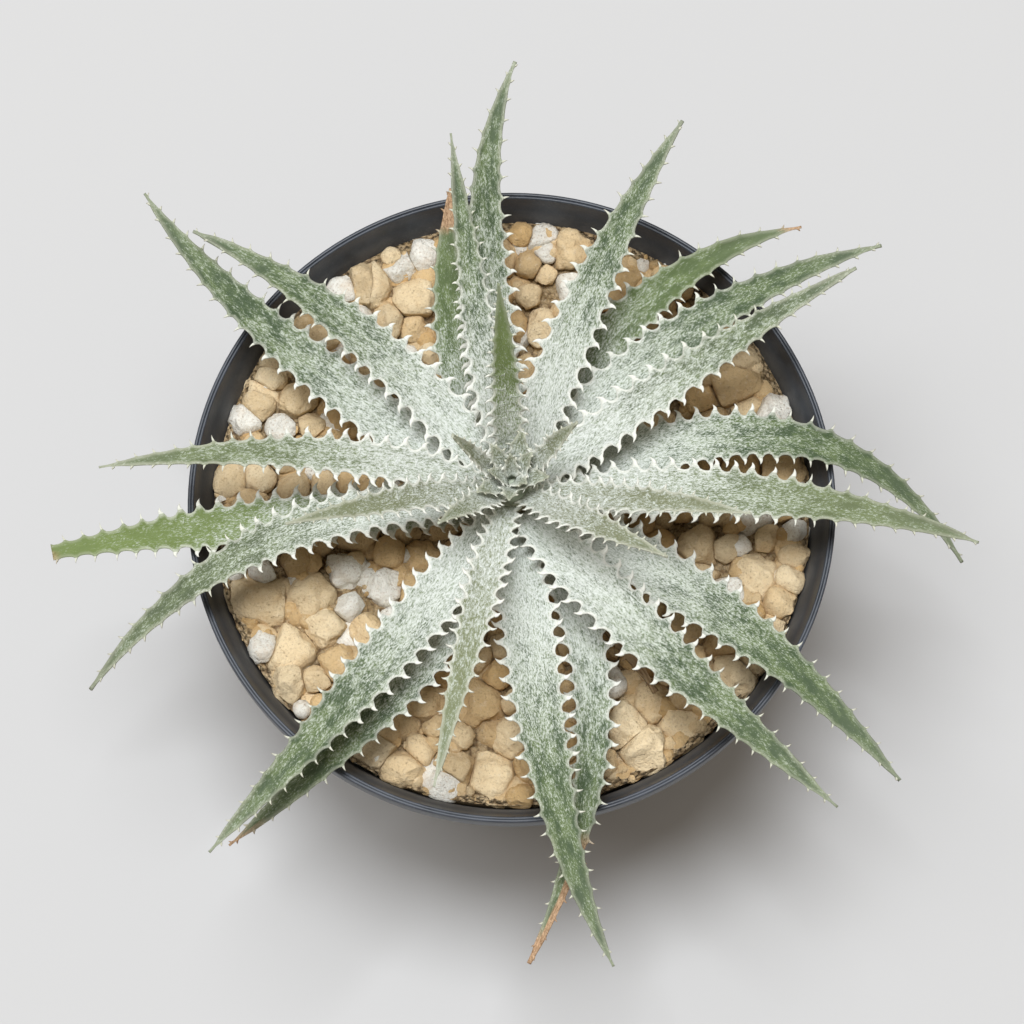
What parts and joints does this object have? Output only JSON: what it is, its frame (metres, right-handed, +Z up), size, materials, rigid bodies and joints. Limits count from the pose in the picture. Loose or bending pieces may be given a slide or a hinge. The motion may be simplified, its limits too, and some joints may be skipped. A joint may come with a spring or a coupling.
{
  "type": "dyckia bromeliad in a pot",
  "caption": "Rosette of narrow silver-green leaves with hooked teeth along both edges, growing from a short stem in a round dark plastic pot topped with tan gravel.",
  "frame": {"origin": "middle of the pot's underside, on the surface it stands on", "axes": "+Z up along the pot's axis; the picture's camera stands high on the -Y side, with +X to its right"},
  "size_m": [0.2107, 0.2053, 0.1871],
  "materials": {
    "pot": "satin",
    "gravel": "matte",
    "stem": "matte",
    "leaf": "matte",
    "young_leaf": "matte",
    "dry_leaf": "matte"
  },
  "bodies": {
    "root": {"pot": "pot", "gravel": "gravel", "stem": "stem", "leaf_01": "leaf", "leaf_02": "young_leaf", "leaf_03": "leaf", "leaf_04": "leaf", "leaf_05": "leaf", "leaf_06": "leaf", "leaf_07": "leaf", "leaf_08": "leaf", "leaf_09": "leaf", "leaf_10": "leaf", "leaf_11": "young_leaf", "leaf_12": "young_leaf", "leaf_13": "leaf", "leaf_14": "leaf", "leaf_15": "leaf", "leaf_16": "leaf", "leaf_17": "leaf", "leaf_18": "leaf", "leaf_19": "leaf", "leaf_20": "leaf", "leaf_21": "leaf", "leaf_22": "leaf", "leaf_23": "young_leaf", "leaf_24": "leaf", "leaf_25": "leaf", "leaf_26": "young_leaf", "leaf_27": "young_leaf", "leaf_28": "young_leaf", "leaf_dry": "dry_leaf"}
  },
  "joints": []
}
